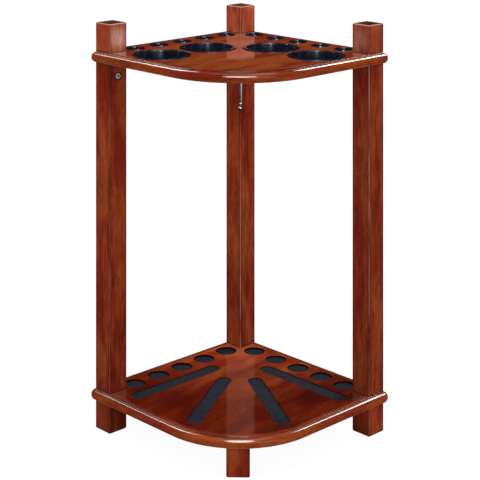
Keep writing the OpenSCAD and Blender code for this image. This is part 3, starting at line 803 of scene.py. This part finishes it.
def floor():
    bpy.ops.mesh.primitive_plane_add(size=60, location=(0, 0, CAD_BOX[0].z - 0.2 * MM))
    plane = bpy.context.object
    plane.name = "floor"
    material, tree, output = new_material("floor")
    position = add(tree, "TexCoord").outputs["Object"]
    haze = add(tree, "TexNoise", {"Vector": position, "Scale": 3.0, "Detail": 2.0}).outputs[0]
    pale = mix(tree, haze, (0.86, 0.86, 0.86, 1), (0.90, 0.90, 0.90, 1))
    rays = add(tree, "LightPath")
    colour = mix(tree, rays.outputs["Is Glossy Ray"], pale, (0.02, 0.015, 0.015, 1))
    colour = mix(tree, rays.outputs["Is Camera Ray"], colour, (0.08, 0.08, 0.08, 1))
    matt = add(tree, "BsdfDiffuse", {"Color": colour})
    glow = add(tree, "Emission", {"Color": (1, 1, 1, 1), "Strength": 0.96})
    lit = add(tree, "AddShader", {0: matt.outputs[0], 1: glow.outputs[0]})
    both = add(tree, "MixShader", {0: rays.outputs["Is Camera Ray"], 1: matt.outputs[0], 2: lit.outputs[0]})
    tree.links.new(both.outputs[0], output.inputs["Surface"])
    plane.data.materials.append(material)


def room():
    """A bright room for diffuse light that stays dark in reflections, and plain white to the camera."""
    world = bpy.data.worlds.new("room")
    world.use_nodes = True
    bpy.context.scene.world = world
    tree = world.node_tree
    tree.nodes.clear()
    rays = add(tree, "LightPath")
    strength = calc(tree, "ADD", 0.85, calc(tree, "MULTIPLY", rays.outputs["Is Camera Ray"], 0.20))
    dimmer = calc(tree, "SUBTRACT", 1.0, calc(tree, "MULTIPLY", rays.outputs["Is Glossy Ray"], 0.985))
    power = calc(tree, "MULTIPLY", strength, dimmer)
    sky = add(tree, "Background", {"Color": (1.0, 1.0, 1.0, 1), "Strength": power})
    add(tree, "OutputWorld", {"Surface": sky.outputs[0]})


def softbox(name, spot, target, width, height, radiance, glint_only=False, only=None, shape="RECTANGLE",
            colour=(1, 1, 1)):
    """A flat light at a spot, facing a target. One for glints alone adds no diffuse light."""
    data = bpy.data.lights.new(name, "AREA")
    data.shape = shape
    data.color = colour
    data.size, data.size_y = width, height
    area = width * height * (math.pi / 4 if shape == "ELLIPSE" else 1)
    data.energy = radiance * math.pi * area
    light = bpy.data.objects.new(name, data)
    bpy.context.scene.collection.objects.link(light)
    light.location = spot
    light.rotation_euler = (Vector(spot) - Vector(target)).to_track_quat("Z", "Y").to_euler()
    light.visible_camera = False
    light.visible_diffuse = not glint_only
    if only:
        group = bpy.data.collections.new(name + "_receivers")
        for piece in only:
            group.objects.link(piece)
        light.light_linking.receiver_collection = group


def patch(name, facing, radiance):
    """A small light where one face of a finial mirrors it to the camera, for a soft patch of sheen there."""
    near, far = reach(name, facing)
    centre = middle(name) + facing * (far - near) / 2
    to_camera = (bpy.context.scene.camera.location - centre).normalized()
    mirrored = facing * (2 * to_camera.dot(facing)) - to_camera
    softbox(f"patch_{name}", centre + mirrored * 70 * MM, centre, 0.02, 0.03, radiance, True, [frame["nodes"][name]])


def toward(direction, distance, height):
    """A spot at a distance in a direction from a height on the rack's middle."""
    return Vector((0, 0, height)) + Vector(direction).normalized() * distance


CAMERA_SIDE = 30.0 * MM
CAMERA_AWAY = 3001.6 * MM
CAMERA_HEIGHT = 1178.0 * MM
CAMERA_TURN = 0.0266
LENS = 110.57
LENS_SHIFT = {"shift_x": 0.0499, "shift_y": -0.9156}


def camera():
    """A level camera, high in front, with its lens shifted down so that uprights stay upright."""
    data = bpy.data.cameras.new("camera")
    data.lens = LENS
    data.clip_end = 100
    view = bpy.data.objects.new("camera", data)
    bpy.context.scene.collection.objects.link(view)
    view.location = CORNER + Vector((CAMERA_SIDE, -CAMERA_AWAY, CAMERA_HEIGHT))
    view.rotation_euler = (math.radians(90), 0, CAMERA_TURN)
    bpy.context.scene.camera = view
    # Other views move the camera, and there the lens has to stay centred
    for axis, amount in LENS_SHIFT.items():
        driver = data.driver_add(axis).driver
        height = driver.variables.new()
        height.name, height.type = "height", "TRANSFORMS"
        height.targets[0].id = view
        height.targets[0].transform_type = "LOC_Z"
        driver.expression = f"{amount} if abs(height - {view.location.z:.6f}) < 0.0001 else 0"


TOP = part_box("top_shelf")[1]
HEART = Vector((0, 0, TOP.z / 2))
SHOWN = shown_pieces()
MOULDED = [piece for piece in SHOWN if plastic in piece.data.materials[:]]
METAL = [piece for piece in SHOWN if piece.name in CAMS or piece.data.materials[0] in (zinc, nickel, brass)]
WOODEN = [piece for piece in SHOWN if piece not in MOULDED + METAL]
TOP_EDGE = [piece for piece in SHOWN if piece.name.startswith("top_nosing")]
BOTTOM_EDGE = [piece for piece in SHOWN if piece.name.startswith("bottom_nosing")]
BELOW_TOP = [piece for piece in WOODEN if "finial" not in piece.name]

COOL = (0.70, 0.84, 1.0)
WARM = (1.0, 0.94, 0.86)

floor()
room()
softbox("fill_above", (0.3, -0.6, 3.0), HEART, 2.0, 2.0, 1.6)
softbox("fill_front", (1.5, -3.2, 1.4), HEART, 2.4, 1.6, 1.1)
softbox("glint_top", (0.03, -1.15, 1.20), HEART, 0.75, 0.55, 20, True, TOP_EDGE, "ELLIPSE",
        WARM)
softbox("glint_bottom", (0.03, -1.15, 1.20), HEART, 0.75, 1.10, 25, True, BOTTOM_EDGE, "ELLIPSE")
softbox("glint_left", toward((-0.499, 0.371, 0.784), 4.0, TOP.z), HEART, 0.9, 1.6, 20, True, BELOW_TOP, "ELLIPSE")
softbox("glow_left", toward((-0.62, 0.38, 0.69), 4.0, TOP.z), HEART, 1.0, 1.8, 9, True, BELOW_TOP, "ELLIPSE")
softbox("glint_right", toward((0.642, 0.496, 0.585), 4.0, TOP.z), HEART, 1.2, 2.2, 26, True, BELOW_TOP, "ELLIPSE")
softbox("streak_front", (0.05, -1.6, 1.5), (0, 0, 1.5), 0.30, 2.4, 9, True, MOULDED,
        colour=COOL)
softbox("streak_above", (0.10, 0.4, 2.9), (0, 0, TOP.z), 0.25, 1.2, 10, True, MOULDED,
        colour=COOL)
softbox("dot_left", toward((-0.594, 0.303, 0.745), 4.0, TOP.z), HEART, 0.30, 0.30, 24, True, MOULDED)
softbox("dot_right", toward((0.594, 0.303, 0.745), 4.0, TOP.z), HEART, 0.30, 0.30, 24, True, MOULDED)
softbox("shine_right", (1.2, -1.4, 0.9), (0, 0, TOP.z), 1.2, 1.2, 2.2, True, METAL)
softbox("shine_left", (-1.2, -1.6, 1.0), (0, 0, TOP.z), 0.8, 1.2, 2.0, True, METAL)
softbox("shine_side", (2.0, -0.05, 0.35), middle("left_cam"), 0.4, 0.8, 1.8, True, METAL)
camera()
patch("left_finial", ALONG_RIGHT, 7)
patch("right_finial", ALONG_LEFT, 1.8)
bpy.context.scene.view_settings.view_transform = "Standard"

bpy.context.view_layer.update()
